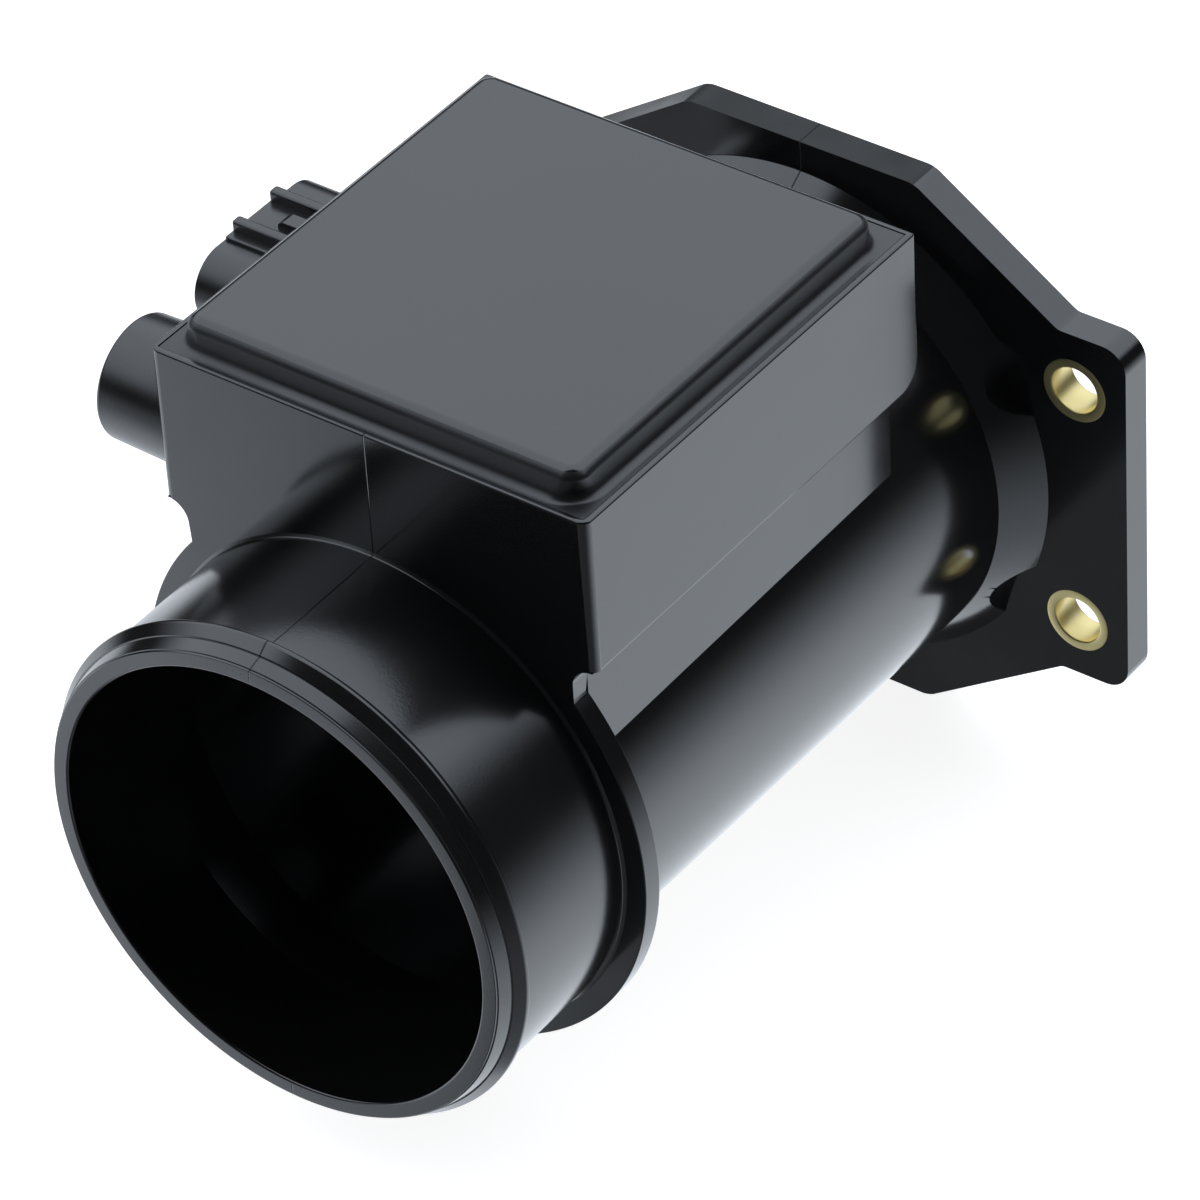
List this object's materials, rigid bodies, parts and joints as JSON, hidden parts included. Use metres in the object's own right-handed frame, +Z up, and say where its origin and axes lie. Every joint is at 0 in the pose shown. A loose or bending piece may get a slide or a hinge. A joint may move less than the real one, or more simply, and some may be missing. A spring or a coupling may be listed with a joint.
{
  "type": "mass airflow sensor",
  "caption": "Flanged air duct with a hose spigot, a sealed circuit box, a plug socket and a hot-element sensing tube in its bore.",
  "frame": {"origin": "on the bore's axis in the flange's mounting face, at the centre of the four flange holes", "axes": "+Y out of the mounting face along the bore, away from the hose spigot; +Z up to the lid; -X to the connector"},
  "size_m": [0.1122, 0.1365, 0.1131],
  "materials": {
    "housing_plastic": "glossy black glass-filled moulding, fine moulding lines",
    "lid_plastic": "smooth glossy black moulding",
    "sealant": "dull black cured sealant",
    "plug_plastic": "satin black",
    "bushing_brass": "turned brass, bright bore",
    "terminal_metal": "tin-plated strip",
    "plate_aluminium": "rolled sheet",
    "board_ceramic": "white ceramic",
    "chip_plastic": "moulded black epoxy",
    "capacitor_ceramic": "tan ceramic",
    "module_plastic": "satin black glass-filled moulding",
    "pin_steel": "nickel-plated strip",
    "element_wire": "wound platinum wire on a ceramic rod, glass coated",
    "screen_steel": "stainless mesh"
  },
  "bodies": {
    "root": {"base_plate": "plate_aluminium", "boss_plug": "plug_plastic", "bushing_1": "bushing_brass", "bushing_2": "bushing_brass", "bushing_3": "bushing_brass", "bushing_4": "bushing_brass", "capacitor_1": "capacitor_ceramic", "capacitor_2": "capacitor_ceramic", "circuit_board": "board_ceramic", "cold_element": "element_wire", "cold_pin_left": "pin_steel", "cold_pin_right": "pin_steel", "control_chip": "chip_plastic", "flow_screen": "screen_steel", "hot_element": "element_wire", "hot_pin_left": "pin_steel", "hot_pin_right": "pin_steel", "housing": "housing_plastic", "lid": "lid_plastic", "lid_seal": "sealant", "power_transistor": "chip_plastic", "resistor_1": "chip_plastic", "resistor_2": "chip_plastic", "screen_ring": "module_plastic", "sensor_module": "module_plastic", "terminal_1": "terminal_metal", "terminal_2": "terminal_metal", "terminal_3": "terminal_metal", "terminal_4": "terminal_metal", "terminal_5": "terminal_metal", "terminal_6": "terminal_metal", "trimmer": "chip_plastic"}
  },
  "joints": []
}
